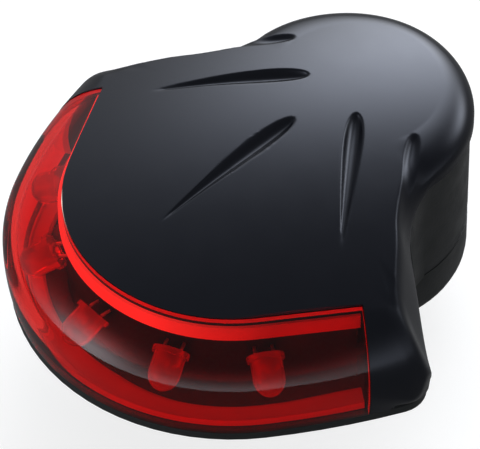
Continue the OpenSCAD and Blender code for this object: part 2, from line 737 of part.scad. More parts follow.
module battery_cover() {
    recess_d = cover_head_d + 0.4;
    color([0.14, 0.14, 0.15]) place() difference() {
        union() {
            difference() {
                cover_body();
                translate([0, 0, cover_floor]) linear_extrude(cover_h) polygon(cover_pts(cover_wall));
            }
            translate([0, screw_y, cover_floor - 0.5]) cylinder(d = cover_screw_d + 3, h = rib_h);
            both() translate(concat(peg_spot, [cover_floor - 0.5]))
                cylinder(d = peg_d, h = z_seam + peg_in - cover_floor);
            for (y = rib_ys)
                translate([-bay_x, y, cover_floor - 0.5]) cube([2 * bay_x, bay_wall, rib_h]);
        }
        translate([0, screw_y, -1]) cylinder(d = cover_screw_d + 2 * run_gap, h = far);
        translate([0, screw_y, -1]) cylinder(d = recess_d, h = 2.6);
        both() translate([rivet_x, rivet_y, -1]) cylinder(d = 2 + 2 * run_gap, h = far);
    }
}
module cover_gasket() {
    color([0.08, 0.08, 0.08]) place() translate([0, 0, cover_h]) linear_extrude(gasket_h) difference() {
        polygon(cover_pts(0.15));
        polygon(cover_pts(cover_wall));
    }
}
module screw_seal() {
    color([0.1, 0.1, 0.1]) place() translate([0, screw_y, 1.2]) difference() {
        cylinder(d = cover_head_d - 0.4, h = 0.4);
        translate([0, 0, -1]) cylinder(d = cover_screw_d + 0.4, h = 3);
    }
}
module cover_screw() {
    color([0.6, 0.6, 0.62]) place() translate([0, screw_y, 0]) difference() {
        union() {
            translate([0, 0, 0.1]) cylinder(d = cover_head_d, h = 1.1);
            translate([0, 0, 0.1]) cylinder(d = cover_screw_d, h = z_seam + post_h - 1.5);
        }
        translate([-far / 2, -0.5, -1]) cube([far, 1, 1.7]);
    }
}

module push_button() {
    color([0.12, 0.12, 0.12]) place() translate([0, pad_y, z_button]) rotate([-90, 0, 0]) {
        translate([0, 0, -flange_t]) cylinder(r = flange_r, h = flange_t);
        difference() {
            cylinder(d = button_d, h = boss_y + body_r - pad_y + 0.3);
            translate([0, 0, boss_y + body_r - pad_y + 7.9]) sphere(r = 8);
        }
    }
}

// Side view of the clip: base, bend and tongue with its catch ridge
clip_bend = [clip_front, -clip_drop / 2];
clip_tip = [clip_front + clip_l - clip_t / 2, -clip_drop + clip_t / 2];
catch_foot = [clip_front + clip_l - 8, -clip_drop + clip_t];
module clip_view() {
    polygon(concat(
        arc_pts(clip_bend, clip_drop / 2, 90, 270, 24),
        arc_pts(clip_tip, clip_t / 2, -90, 90, 12),
        [for (c = [[6, 0], [3, catch_h], [2, catch_h], [0, 0]]) catch_foot + c],
        arc_pts(clip_bend, clip_drop / 2 - clip_t, 270, 90, 16),
        [[clip_front + clip_base, -clip_t], [clip_front + clip_base, 0]]
    ));
}
module mount_clip() {
    color([0.12, 0.12, 0.13]) place() difference() {
        translate([-clip_w / 2, 0, 0]) rotate([90, 0, 90]) linear_extrude(clip_w) clip_view();
        both() translate([rivet_x, rivet_y, -clip_t - eps]) {
            cylinder(d = 2 + 2 * run_gap, h = far);
            cylinder(d = 3.8, h = 0.8);
        }
    }
}
module clip_rivets() {
    color([0.6, 0.6, 0.62]) place() both() translate([rivet_x, rivet_y, -clip_t]) {
        cylinder(d = 3.4, h = 0.8 - eps);
        cylinder(d = 2, h = clip_t + cover_floor + 0.4);
        translate([0, 0, clip_t + cover_floor]) cylinder(d = 3.4, h = 0.4);
    }
}

top_cap();
lens();
base_housing();
reflector_ring();
led_frame();
led_1();
led_2();
led_3();
led_4();
led_5();
led_legs();
circuit_board();
driver_chip();
board_parts();
push_switch();
board_screws();
cell_left();
cell_right();
spring_front();
spring_rear();
contact_bridge();
contact_left();
contact_right();
battery_cover();
cover_gasket();
cover_screw();
screw_seal();
push_button();
case_screws();
mount_clip();
clip_rivets();
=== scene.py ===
import json
import math

import bmesh
import bpy
import numpy as np
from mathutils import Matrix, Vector
from mathutils.kdtree import KDTree


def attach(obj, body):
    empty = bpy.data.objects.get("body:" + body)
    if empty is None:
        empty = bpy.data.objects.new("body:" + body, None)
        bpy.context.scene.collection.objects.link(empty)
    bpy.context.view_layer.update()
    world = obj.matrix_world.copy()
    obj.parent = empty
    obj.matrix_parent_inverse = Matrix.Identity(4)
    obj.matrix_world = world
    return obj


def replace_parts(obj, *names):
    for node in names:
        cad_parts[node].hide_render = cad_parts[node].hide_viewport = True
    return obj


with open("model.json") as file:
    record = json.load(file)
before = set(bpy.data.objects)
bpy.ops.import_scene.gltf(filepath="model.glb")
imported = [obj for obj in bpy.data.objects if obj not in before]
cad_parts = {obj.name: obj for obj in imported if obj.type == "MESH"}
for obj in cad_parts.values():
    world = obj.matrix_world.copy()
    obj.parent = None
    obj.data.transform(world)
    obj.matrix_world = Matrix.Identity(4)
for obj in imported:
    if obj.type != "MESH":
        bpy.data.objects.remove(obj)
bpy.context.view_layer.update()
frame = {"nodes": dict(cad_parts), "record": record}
nodes = frame["nodes"]
scene = bpy.context.scene
MM = 0.001

# Sizes in millimetres, as in the part's source
EDGE_R = 24.0  # radius of the lens's upper edge
HALF = math.radians(58)  # half of the lens's arc
STRAIGHT = 14.7  # straight run at each end of the lens
BULGE = 8.5  # how far the lens stands out from its upper edge
SHOULDER = 8.4  # fall from the upper edge to the widest line
LENS_H = 15.0
LENS_WALL = 1.8
LENS_LIP = 0.8
FOOT_BAND = 1.0  # least height of the lens below its widest line
EDGE_DEG = 30  # start of the lens's rounded side, and its sine
EDGE_SIN = 0.5
DRAFT = 0.8  # how far the lens draws in below its widest line
BOSS_R = 18.6
BOSS_Y = 21.0
DOME_H = 8.2
SIDE_FALL = 1.9  # how much faster the dome falls sideways than lengthways
CAP_WALL = 2.0
RIM_RISE = 2.1  # rear skirt over the lens's upper edge
BOSS_SHOULDER = 4.0
EAR_R = 4.7
EAR_RUN = 5.8
FLANK = math.radians(60)
WAIST_R = 10.6
END_IN = 1.0  # how far the side draws in at the lens's end
END_DROP = 2.5  # how far its widest line drops there
SEAT_GAP = 0.1
SKIRT_FRONT = [(-24, -1), (-17, 6), (17, 6), (24, -1)]
LED_COUNT = 5
LED_STEP = math.radians(30)
LED_TILT = math.radians(30)
Z_LENS = 9.7  # underside of the lens in the source's working frame
Z_SHIFT = 6.8  # from the working frame up to the row frame
Z_EDGE = Z_LENS + LENS_H
Z_BULGE = Z_EDGE - SHOULDER
Z_TOP = Z_EDGE + DOME_H
Z_SKIRT = Z_EDGE + RIM_RISE
DOME_C = DOME_H / (BOSS_Y + EDGE_R) ** 2
OUT_R = EDGE_R + BULGE
Y_SHIFT = -(BOSS_Y + BOSS_R - OUT_R) / 2

# Sizes of the scene alone, in millimetres
SKIRT_LAP = 0.06  # cap skirt let down over the seam gap
FAR = 60.0  # reach of the cutting prisms
INNER_SLOPE = 1.5  # rise of the lens's side drawn on inward
TOP_FILLET = 2.0
FOOT_ROUND = 0.12

# Grooves: front tip, rear end, half width and depth
GROOVES = [
    ((0.0, -13.4), (0.0, 11.6), 2.1, 1.5),
    ((20.8, 2.1), (5.1, 18.9), 2.1, 1.5),
    ((-20.8, 2.1), (-5.1, 18.9), 2.1, 1.5),
    ((23.0, 11.2), (12.9, 23.0), 1.6, 1.2),
    ((-23.0, 11.2), (-12.9, 23.0), 1.6, 1.2),
]
GROOVE_END = 5  # how square the rear end is
GROOVE_TAPER = 0.35
GROOVE_SECTION = 1.15
GROOVE_FADE = 0.1  # share of the length in which the tip gains its depth

# Points on each run of the outline, and rings on the cap's sides and top
N_BOSS, N_WAIST, N_FLANK, N_EAR, N_SIDE, N_ARC = 80, 48, 30, 30, 56, 104
OUTER_RINGS = (44, 80)
INNER_RINGS = (8, 10)
MERGE, SLIVER = 2e-6, 1e-7  # in metres


# Small helpers
def smooth_table(k, table):
    """Smooth curve through the table's points, without overshoot."""
    x = np.array([t[0] for t in table], float)
    y = np.array([t[1] for t in table], float)
    h = np.diff(x)
    d = np.diff(y) / h
    m = np.zeros(len(x))
    for i in range(1, len(x) - 1):
        if d[i - 1] * d[i] > 0:
            m[i] = 2 * d[i - 1] * d[i] / (d[i - 1] + d[i])
    i = np.clip(np.searchsorted(x, k, side="right") - 1, 0, len(h) - 1)
    t = np.clip((k - x[i]) / h[i], 0, 1)
    a = (1 + 2 * t) * (1 - t) ** 2 * y[i] + t * (1 - t) ** 2 * h[i] * m[i]
    b = t * t * (3 - 2 * t) * y[i + 1] - t * t * (1 - t) * h[i] * m[i + 1]
    return a + b


def to_row(p):
    """From the source's working frame in millimetres to the row frame in metres."""
    return (np.asarray(p, float) + [0, Y_SHIFT, Z_SHIFT]) * MM


def mesh_object(name, verts, faces):
    mesh = bpy.data.meshes.new(name)
    mesh.from_pydata([tuple(v) for v in verts], [], faces)
    mesh.update()
    obj = bpy.data.objects.new(name, mesh)
    scene.collection.objects.link(obj)
    return obj


def face_out(obj, merge=False):
    """Turns every face outward, after joining points that lie together where asked."""
    bm = bmesh.new()
    bm.from_mesh(obj.data)
    if merge:
        bmesh.ops.remove_doubles(bm, verts=bm.verts, dist=MERGE)
        bmesh.ops.dissolve_degenerate(bm, edges=bm.edges, dist=SLIVER)
    bmesh.ops.recalc_face_normals(bm, faces=bm.faces)
    bm.to_mesh(obj.data)
    bm.free()
    return obj


def prism(name, pts, z0, z1):
    """Upright prism over a plan, given anticlockwise."""
    n = len(pts)
    v = [to_row([x, y, z]) for z in (z0, z1) for x, y in pts]
    f = [list(range(n - 1, -1, -1)), list(range(n, 2 * n))]
    f += [[i, (i + 1) % n, n + (i + 1) % n, n + i] for i in range(n)]
    return mesh_object(name, v, f)


def apply_boolean(obj, other, operation):
    m = obj.modifiers.new("cut", "BOOLEAN")
    m.operation = operation
    m.solver = "MANIFOLD"
    m.object = other
    bpy.context.view_layer.update()
    graph = bpy.context.evaluated_depsgraph_get()
    got = bpy.data.meshes.new_from_object(obj.evaluated_get(graph))
    obj.modifiers.clear()
    obj.data = got
    bpy.data.objects.remove(other)


# Plan of the outside: normals and tangents of the lens's straight end and of the flank
NOR_F = np.array([math.sin(HALF), -math.cos(HALF)])
TAN_F = np.array([math.cos(HALF), math.sin(HALF)])
NOR_K = np.array([math.cos(FLANK), math.sin(FLANK)])
TAN_K = np.array([-math.sin(FLANK), math.cos(FLANK)])
BOSS_C = np.array([0, BOSS_Y])
END_RUN = STRAIGHT + EAR_RUN
EAR_TURN = HALF - math.pi / 2 + math.atan(2 * END_IN * END_RUN / STRAIGHT ** 2)


def side_w(u):
    """Bulge of the side at u along its straight end."""
    return BULGE - END_IN * (np.maximum(u, 0) / STRAIGHT) ** 2


def side_h(u):
    """Fall from the upper edge to the side's widest line."""
    return np.minimum(SHOULDER + END_DROP * (np.maximum(u, 0) / STRAIGHT) ** 2, LENS_H - FOOT_BAND)


def side_pt(u):
    u = np.asarray(u, float)[..., None]
    return (EDGE_R + side_w(u)) * NOR_F + u * TAN_F


# Ear, flank and waist, each tangent to the next
C_EAR = side_pt(END_RUN) - EAR_R * np.array([math.cos(EAR_TURN), math.sin(EAR_TURN)])
P_EAR = C_EAR + EAR_R * NOR_K
Q_WAIST = P_EAR + WAIST_R * NOR_K - BOSS_C
QT = Q_WAIST @ TAN_K
FLANK_L = -QT - math.sqrt(QT * QT - Q_WAIST @ Q_WAIST + (BOSS_R + WAIST_R) ** 2)
P_FLANK = P_EAR + FLANK_L * TAN_K
C_WAIST = P_FLANK + WAIST_R * NOR_K
BETA = math.atan2(C_WAIST[1] - BOSS_Y, C_WAIST[0])

# The cap by places on its outline: 0 rear, 1 boss to waist, 2 waist to flank, 3 flank to ear,
# 4 ear to side, 5 side to arc, 6 front
ROUND_IN = [(0, BOSS_SHOULDER), (1, BOSS_SHOULDER + 2.3), (2, BOSS_SHOULDER + 6.1),
            (3, BULGE + 6.3), (4, side_w(END_RUN)), (5, BULGE), (6, BULGE)]
WIDEST_Z = [(0, Z_SKIRT + 1.1), (1, Z_SKIRT + 0.9), (2, Z_BULGE + 1.7), (3, Z_LENS + 0.8),
            (4, Z_EDGE - side_h(END_RUN)), (5, Z_BULGE), (6, Z_BULGE)]
TOP_DEG = [(0, 12), (1, 12), (2, 18), (3, 30), (4, 28), (5, 30), (6, 30)]
DRAW_IN = [(0, 0.1), (2, 0.3), (3, DRAFT), (6, DRAFT)]
WALL = [(0, CAP_WALL), (2, CAP_WALL), (3, CAP_WALL + 3), (4.2, CAP_WALL + 3),
        (4.6, CAP_WALL), (6, CAP_WALL)]
SPINE_Y = [(0, BOSS_Y), (1, BOSS_Y), (2, BOSS_Y * 0.7), (3, BOSS_Y * 0.35),
           (4, BOSS_Y * 0.2), (5, 0), (6, 0)]
CREASE = [(0, 0), (0.8, 0), (1.4, 1), (3.2, 1), (4, 0), (6, 0)]
FOOT_H = [(1, 0.6), (2, 2.4), (3, 2.4)]
FLANK_SLOPE = [(1, 2.2), (1.5, 3.4), (1.8, 3.9), (2.1, 3.6), (2.5, 3.0), (3, 2.5)]
CREASE_FILLET = [(1, 5), (2, 2.6), (3, 2.4)]


def arc(c, r, a0, a1, n):
    a = a0 + (a1 - a0) * np.arange(n + 1) / n
    return c + r * np.stack([np.cos(a), np.sin(a)], 1)


def line(a, b, n):
    t = np.arange(n + 1)[:, None] / n
    return a + (b - a) * t


def outline():
    """Outline from the rear round the right side and back up the left, with its places."""
    runs = [
        arc(BOSS_C, BOSS_R, math.pi / 2, BETA, N_BOSS),
        arc(C_WAIST, WAIST_R, math.pi + BETA, math.pi + FLANK, N_WAIST),
        line(P_FLANK, P_EAR, N_FLANK),
        arc(C_EAR, EAR_R, FLANK, EAR_TURN, N_EAR),
        side_pt(END_RUN * (1 - np.arange(N_SIDE + 1) / N_SIDE)),
        arc(np.zeros(2), OUT_R, HALF - math.pi / 2, -math.pi / 2, N_ARC),
    ]
    pts, place = [runs[0][:1]], [np.zeros(1)]
    for i, r in enumerate(runs):
        pts.append(r[1:])
        place.append(i + np.arange(1, len(r)) / (len(r) - 1))
    p, k = np.concatenate(pts), np.concatenate(place)
    left = p[-2:0:-1] * [-1, 1]
    return np.concatenate([p, left]), np.concatenate([k, k[-2:0:-1]])


# Heights of the cap at plan points
def dome(p):
    return Z_TOP - DOME_C * (SIDE_FALL * p[..., 0] ** 2 + (p[..., 1] - BOSS_Y) ** 2)


def groove_fall(p):
    """Depth of the teardrop grooves."""
    fall = np.zeros(p.shape[:-1])
    for a, b, w, depth in GROOVES:
        a, b = np.array(a), np.array(b)
        length = np.linalg.norm(b - a)
        along = (b - a) / length
        t = (p - a) @ along / length
        u = (p - a) @ np.array([-along[1], along[0]])
        tc = np.clip(t, 0, 1)
        body = np.sqrt(tc) * np.sqrt(1 - tc ** GROOVE_END) * tc ** GROOVE_TAPER
        half = np.maximum(w * body, 1e-6)
        cross = np.clip(1 - (u / half) ** 2, 0, 1) ** GROOVE_SECTION
        start = np.clip(t / GROOVE_FADE, 0, 1)
        inside = (t > 0) & (t < 1)
        fall = np.maximum(fall, np.where(inside, depth * body * cross * start, 0))
    return fall


def soft_min(a, b, r):
    """Lower of two heights, rounded where they cross."""
    h = np.clip(r - np.abs(a - b), 0, None) / r
    return np.minimum(a, b) - h * h * r / 4


def side_z(q):
    """Height of the lens's rounded side, drawn on past its ends."""
    along = np.maximum(q @ TAN_F, 0)
    out = np.where(q @ TAN_F > 0, q @ NOR_F, np.linalg.norm(q, axis=-1)) - EDGE_R
    w, h = side_w(along), side_h(along)
    a = np.arcsin(EDGE_SIN + (1 - EDGE_SIN) * np.clip(out / w, 0, 1))
    rise = h * np.cos(a) / math.cos(math.radians(EDGE_DEG))
    return Z_EDGE - h + rise + np.maximum(-out, 0) * INNER_SLOPE


def flank_in(q):
    """Distance in from the boss, waist and flank, and the nearest place, on the right side."""
    along = (q - P_EAR) @ TAN_K
    from_boss, from_waist = q - BOSS_C, q - C_WAIST
    on_boss = np.arctan2(from_boss[..., 1], from_boss[..., 0]) > BETA
    turn = np.mod(np.arctan2(from_waist[..., 1], from_waist[..., 0]), 2 * math.pi) - math.pi
    on_flank = along < FLANK_L
    to_waist = np.linalg.norm(from_waist, axis=-1) - WAIST_R
    d = np.where(on_flank, (P_EAR - q) @ NOR_K, to_waist)
    d = np.where(on_boss, BOSS_R - np.linalg.norm(from_boss, axis=-1), d)
    k = np.where(on_flank, 3 - along / FLANK_L, 1 + (turn - BETA) / (FLANK - BETA))
    return np.maximum(d, 0), np.where(on_boss, 1, np.clip(k, 1, 3))


def creased(q, z, share):
    """Steep flank that meets the top in a crease, blended into the heights z by its share."""
    m = np.column_stack([np.abs(q[:, 0]), q[:, 1]])
    top = soft_min(dome(m), side_z(m), TOP_FILLET)
    d, at = flank_in(m)
    foot = smooth_table(at, FOOT_H) * (1 - np.exp(-d / FOOT_ROUND))
    steep = smooth_table(at, WIDEST_Z) + foot + d * smooth_table(at, FLANK_SLOPE)
    return z + share * (soft_min(top, steep, smooth_table(at, CREASE_FILLET)) - z)


# Cap
def cap_mesh():
    """The cap as one smooth closed shell, before it is cut."""
    p, k = outline()
    n = len(p)
    on_side = (k > 4) & (k < 5)
    u = END_RUN * (5 - k)
    w = np.where(on_side, side_w(u), smooth_table(k, ROUND_IN))
    wide = np.where(on_side, Z_EDGE - side_h(u), smooth_table(k, WIDEST_Z))
    slope = np.radians(smooth_table(k, TOP_DEG))
    crease = smooth_table(k, CREASE)
    draft = smooth_table(k, DRAW_IN)
    spine = np.stack([np.zeros(n), smooth_table(k, SPINE_Y)], 1)
    inward = (spine - p) / np.linalg.norm(spine - p, axis=-1, keepdims=True)

    def rings(wall, drop, counts, outside):
        """Rings from the foot to the spine, in by the wall and down by drop."""
        sides, tops = counts
        base = p + inward * wall[:, None]
        low = p + inward * (draft + wall)[:, None]
        got = [np.column_stack([low + (base - low) * t, Z_LENS + (wide - Z_LENS) * t])
               for t in (0.0, 0.5)]
        edge = p + inward * (w + wall)[:, None]
        edge_z = dome(edge) - drop
        for i in range(sides + 1):
            a = math.pi / 2 + (slope - math.pi / 2) * i / sides
            f = (np.sin(a) - np.sin(slope)) / (1 - np.sin(slope))
            q = p + inward * (wall + w * (1 - f))[:, None]
            z = wide + (edge_z - wide) * np.cos(a) / np.cos(slope)
            if outside:
                z = creased(q, z, crease) - groove_fall(q) * (i / sides)
            got.append(np.column_stack([q, z]))
        for i in range(1, tops + 1):
            q = edge + (spine - edge) * (i / tops)
            z = dome(q) - drop
            if outside:
                z = creased(q, z, crease) - groove_fall(q)
            got.append(np.column_stack([q, z]))
        return got

    outer = rings(np.zeros(n), 0.0, OUTER_RINGS, True)
    inner = rings(smooth_table(k, WALL), CAP_WALL, INNER_RINGS, False)
    i = np.arange(n)
    j = (i + 1) % n
    start = len(outer) * n
    faces = []
    for r in range(len(outer) - 1):
        lo, hi = r * n, (r + 1) * n
        faces += np.stack([hi + j, hi + i, lo + i, lo + j], 1).tolist()
    for r in range(len(inner) - 1):
        lo, hi = start + r * n, start + (r + 1) * n
        faces += np.stack([lo + j, lo + i, hi + i, hi + j], 1).tolist()
    faces += np.stack([i, j, start + j, start + i], 1).tolist()
    verts = to_row(np.concatenate(outer + inner))
    return face_out(mesh_object("cap_shell", verts, faces), merge=True)


def lens_zone():
    """Space that the lens takes out of the cap."""
    run, r, steps = STRAIGHT + SEAT_GAP, EDGE_R - SEAT_GAP, 80
    turns = [HALF * i / steps for i in range(steps + 1)]
    right = [r * np.array([math.sin(a), -math.cos(a)]) for a in turns]
    right.append(r * NOR_F + run * TAN_F)
    end = EDGE_R * NOR_F + run * TAN_F + FAR * NOR_F
    pts = [q * [-1, 1] for q in right[:0:-1]] + right
    pts += [end, np.array([FAR, -FAR]), np.array([-FAR, -FAR]), end * [-1, 1]]
    return prism("lens_zone", pts[::-1], Z_LENS - 1, FAR)


def under_skirt():
    """Space under the cap's rear skirt, which the housing's wall takes."""
    x = P_EAR[0]
    low, high = Z_LENS - SKIRT_LAP, Z_SKIRT - SKIRT_LAP
    side = [(-x, low), (-BOSS_R, high), (BOSS_R, high), (x, low), (x, -FAR), (-x, -FAR)]
    n = len(side)
    v = [to_row([sx, y, sz]) for y in (-FAR, FAR) for sx, sz in side]
    f = [list(range(n)), list(range(2 * n - 1, n - 1, -1))]
    f += [[(i + 1) % n, i, n + i, n + (i + 1) % n] for i in range(n)]
    space = face_out(mesh_object("skirt_side", v, f))
    plan = [(-FAR, -1), *SKIRT_FRONT, (FAR, -1), (FAR, FAR), (-FAR, FAR)]
    apply_boolean(space, prism("skirt_plan", plan, -FAR + 1, 2 * FAR), "INTERSECT")
    return space


def keep_normals(obj, source):
    """Gives the cut shell the uncut one's smooth normals, and flat ones on the cut faces."""
    near_count, near_soft, least_match = 4, 2e-5, 0.8
    src = source.data
    tree = KDTree(len(src.vertices))
    for v in src.vertices:
        tree.insert(v.co, v.index)
    tree.balance()
    src_n = [v.normal.copy() for v in src.vertices]
    mesh = obj.data
    soft = []
    for v in mesh.vertices:
        total = Vector((0, 0, 0))
        for _, i, dist in tree.find_n(v.co, near_count):
            total += src_n[i] / (dist + near_soft)
        soft.append(total.normalized())
    mesh.polygons.foreach_set("use_smooth", [True] * len(mesh.polygons))
    normals = [None] * len(mesh.loops)
    for poly in mesh.polygons:
        for li in poly.loop_indices:
            s = soft[mesh.loops[li].vertex_index]
            normals[li] = s if s.dot(poly.normal) > least_match else poly.normal.copy()
    mesh.normals_split_custom_set(normals)


def make_cap():
    shell = cap_mesh()
    cap = bpy.data.objects.new("cap_skin", shell.data.copy())
    scene.collection.objects.link(cap)
    apply_boolean(cap, lens_zone(), "DIFFERENCE")
    apply_boolean(cap, under_skirt(), "DIFFERENCE")
    keep_normals(cap, shell)
    bpy.data.objects.remove(shell)
    return cap


# Lens
def sweep(name, profile_at, end_faces, run, counts, sharp_deg):
    """Closed profile drawn along the lens, with points on its ends and arc by the counts."""
    ends, turns = counts
    stations = [(-HALF, t * run) for t in np.linspace(1, 0, ends)[:-1]]
    stations += [(a, 0.0) for a in np.linspace(-HALF, HALF, turns)]
    stations += [(HALF, t * run) for t in np.linspace(0, 1, ends)[1:]]
    verts = []
    for a, u in stations:
        nor = np.array([math.sin(a), -math.cos(a)])
        tan = np.array([math.cos(a), math.sin(a)]) * (1 if a > 0 else -1)
        for r, z in profile_at(u):
            verts.append(to_row([*(r * nor + u * tan), z]))
    last = len(stations) - 1
    n = len(verts) // len(stations)
    faces = [[s * n + i, s * n + (i + 1) % n, (s + 1) * n + (i + 1) % n, (s + 1) * n + i]
             for s in range(last) for i in range(n)]
    faces += [[s * n + i for i in face] for s in (0, last) for face in end_faces]
    obj = face_out(mesh_object(name, verts, faces))
    obj.data.shade_smooth()
    obj.data.set_sharp_from_angle(angle=math.radians(sharp_deg))
    return obj


def make_lens():
    arc_points, low_points = 40, 7

    def wall_at(d, lip, u):
        """One face of the lens from the top down, drawn in by d and down by lip."""
        a = np.radians(np.linspace(EDGE_DEG, 90, arc_points))
        w, h = side_w(u), side_h(u)
        r = EDGE_R + (w - d) * (np.sin(a) - EDGE_SIN) / (1 - EDGE_SIN)
        z = Z_EDGE - h + (h - lip) * np.cos(a) / math.cos(math.radians(EDGE_DEG))
        low = np.linspace(0, 1, low_points + 1)[1:]
        r = np.concatenate([r, EDGE_R + w - d - DRAFT * low ** 2])
        z = np.concatenate([z, Z_EDGE - h + (Z_LENS - Z_EDGE + h) * low])
        return np.stack([r, z], 1)

    def profile_at(u):
        return np.concatenate([wall_at(0, 0, u), wall_at(LENS_WALL, LENS_LIP, u)[::-1]])

    half = arc_points + low_points
    end_faces = [[i, i + 1, 2 * half - 2 - i, 2 * half - 1 - i] for i in range(half - 1)]
    return sweep("lens_shell", profile_at, end_faces, STRAIGHT, (16, 120), 40)


def frost_edges(obj, clear, frosted):
    """Two looks on the lens: clear walls, and frosted faces where its mould parted, which carry a
    faint painted glow.
    """
    reach, upright = 0.05, 0.2
    mesh = obj.data
    mesh.materials.append(clear)
    mesh.materials.append(frosted)
    for poly in mesh.polygons:
        q = np.array([abs(poly.center.x) / MM, poly.center.y / MM - Y_SHIFT])
        along = q @ TAN_F
        out = (q @ NOR_F if along > 0 else np.linalg.norm(q)) - EDGE_R
        at_lip = out < reach and abs(poly.normal.z) < upright
        poly.material_index = 1 if along > STRAIGHT - reach or at_lip else 0


def lens_foot():
    """Ledge at the foot of the lens, on the housing's floor."""
    gap, bead, slant, end_gap = 0.15, 0.3, 0.4, 0.4
    d0, d1 = 2.8, BULGE - LENS_WALL - DRAFT - gap
    z0, z1 = Z_LENS + 0.02, Z_LENS + 0.7
    section = [(d0, z0), (d1, z0), (d1, z1 + bead), (d1 - bead, z1 + bead), (d1 - 2 * bead, z1),
               (d0 + slant, z1), (d0, z1 - bead)]

    def profile_at(u):
        shrink = BULGE - float(side_w(u))
        return [(EDGE_R + d - shrink, z) for d, z in section]

    end_faces = [list(range(len(section)))]
    return sweep("lens_foot", profile_at, end_faces, STRAIGHT - end_gap, (10, 90), 30)


# Diodes
def diode_cores():
    """Lead frames inside the clear diodes: a post with the cup, and a bent post beside it."""
    anvil = [(-1.5, 0.05), (-1.0, 0.05), (-1.0, 0.9), (0.25, 1.7), (0.25, 2.6),
             (-0.15, 2.6), (-0.32, 2.3), (-0.78, 2.3), (-0.95, 2.6), (-1.5, 2.6)]
    post = [(1.0, 0.05), (1.5, 0.05), (1.5, 1.9), (0.6, 2.6), (0.45, 2.35), (1.0, 1.75)]
    half_thick, level = 0.25, 1e-5
    verts, faces = [], []
    for i in range(LED_COUNT):
        a = (i - (LED_COUNT - 1) / 2) * LED_STEP
        flat = np.array([math.sin(a), -math.cos(a)]) * math.cos(LED_TILT)
        along = np.array([*flat, -math.sin(LED_TILT)])
        across = np.array([math.cos(a), math.sin(a), 0.0])
        over = np.cross(along, across)
        co = np.array([v.co[:] for v in nodes[f"led_{i + 1}"].data.vertices])
        depth = co @ along
        foot = co[depth < depth.min() + level].mean(0)
        for shape in (anvil, post):
            n, start = len(shape), len(verts)
            for side in (-half_thick, half_thick):
                verts += [foot + (x * across + y * along + side * over) * MM for x, y in shape]
            faces += [[start + j for j in range(n)], [start + n + j for j in range(n)]]
            for j in range(n):
                k = (j + 1) % n
                faces.append([start + j, start + k, start + n + k, start + n + j])
    return face_out(mesh_object("diode_cores", verts, faces))


# Materials
# Bluish tint on the cap's reflections: painted colour of the light, not of the black plastic
COOL_LIGHT_TINT = (0.8, 0.85, 1.0)
LOOKS = {
    "cap_black": ((0.0036, 0.004, 0.006), 0.2, dict(ior=1.46, tint=COOL_LIGHT_TINT, vary=0.1, bump=0.012)),
    "lens_red": ((0.95, 0.03, 0.026), 0.02,
                 dict(trans=1.0, ior=1.12, coat=0.6, bump=0.004, grain=500.0)),
    "body_black": ((0.016, 0.0175, 0.0175), 0.36, dict(ior=1.42, bump=0.14, grain=2200.0)),
    "reflector_pale": ((0.8, 0.72, 0.65), 0.3, {}),
    "frame_black": ((0.004, 0.004, 0.004), 0.55, dict(ior=1.35, bump=0.12)),
    "diode_clear": ((0.97, 0.94, 0.92), 0.03, dict(trans=0.72, ior=1.45, bump=0.01)),
    "tinned_steel": ((0.85, 0.83, 0.8), 0.42, dict(metal=1.0, patch=900.0)),
    "board_green": ((0.03, 0.16, 0.07), 0.4, dict(bump=0.1, grain=3000.0)),
    "part_tan": ((0.5, 0.4, 0.25), 0.5, dict(bump=0.1)),
    "screw_steel": ((0.55, 0.55, 0.57), 0.32, dict(metal=1.0, patch=900.0, bump=0.08)),
    "cell_grey": ((0.16, 0.17, 0.19), 0.35, dict(bump=0.03, stretch=(1, 0.2, 1))),
    "seal_black": ((0.03, 0.031, 0.032), 0.55, dict(bump=0.15)),
    "button_rubber": ((0.02, 0.02, 0.02), 0.6, dict(bump=0.2, grain=2600.0)),
    "clip_black": ((0.012, 0.012, 0.013), 0.42, dict(bump=0.14, grain=2200.0)),
    "rivet_alloy": ((0.6, 0.6, 0.62), 0.35, dict(metal=1.0, patch=900.0, bump=0.08)),
}
COAT_ROUGH = 0.05
NOISE_SPAN = (0.3, 0.7)  # part of the noise that the roughness is spread over
PATCH_DETAIL, GRAIN_DETAIL = 5, 4
BUMP_DEPTH = 0.0002
RING_PAINTED_GLOW, RING_FADE = 0.85, (0.008, 0.022)  # painted glow of the ring, which is no lamp, and where along X it ends, so that the left looks lit
SOFT_NODES = ("base_housing", "battery_cover", "cover_gasket", "reflector_ring", "led_frame",
              "mount_clip")
SOFT_DEG, WELD_REACH = 28, 1e-6


def noise_node(tree, coords, scale, detail, stretch):
    """Noise over the object's own coordinates, drawn out along an axis by stretch."""
    place = tree.nodes.new("ShaderNodeMapping")
    place.inputs["Scale"].default_value = stretch
    noise = tree.nodes.new("ShaderNodeTexNoise")
    noise.inputs["Scale"].default_value = scale
    noise.inputs["Detail"].default_value = detail
    tree.links.new(coords.outputs["Object"], place.inputs["Vector"])
    tree.links.new(place.outputs["Vector"], noise.inputs["Vector"])
    return noise.outputs["Fac"]


def map_range(tree, value, source, target):
    n = tree.nodes.new("ShaderNodeMapRange")
    names = ("From Min", "From Max", "To Min", "To Max")
    for name, v in zip(names, (*source, *target)):
        n.inputs[name].default_value = v
    tree.links.new(value, n.inputs["Value"])
    return n.outputs["Result"]


def math_node(tree, operation, *values):
    """Math node fed by numbers and sockets."""
    n = tree.nodes.new("ShaderNodeMath")
    n.operation = operation
    for socket, v in zip(n.inputs, values):
        if isinstance(v, (int, float)):
            socket.default_value = v
        else:
            tree.links.new(v, socket)
    return n.outputs[0]


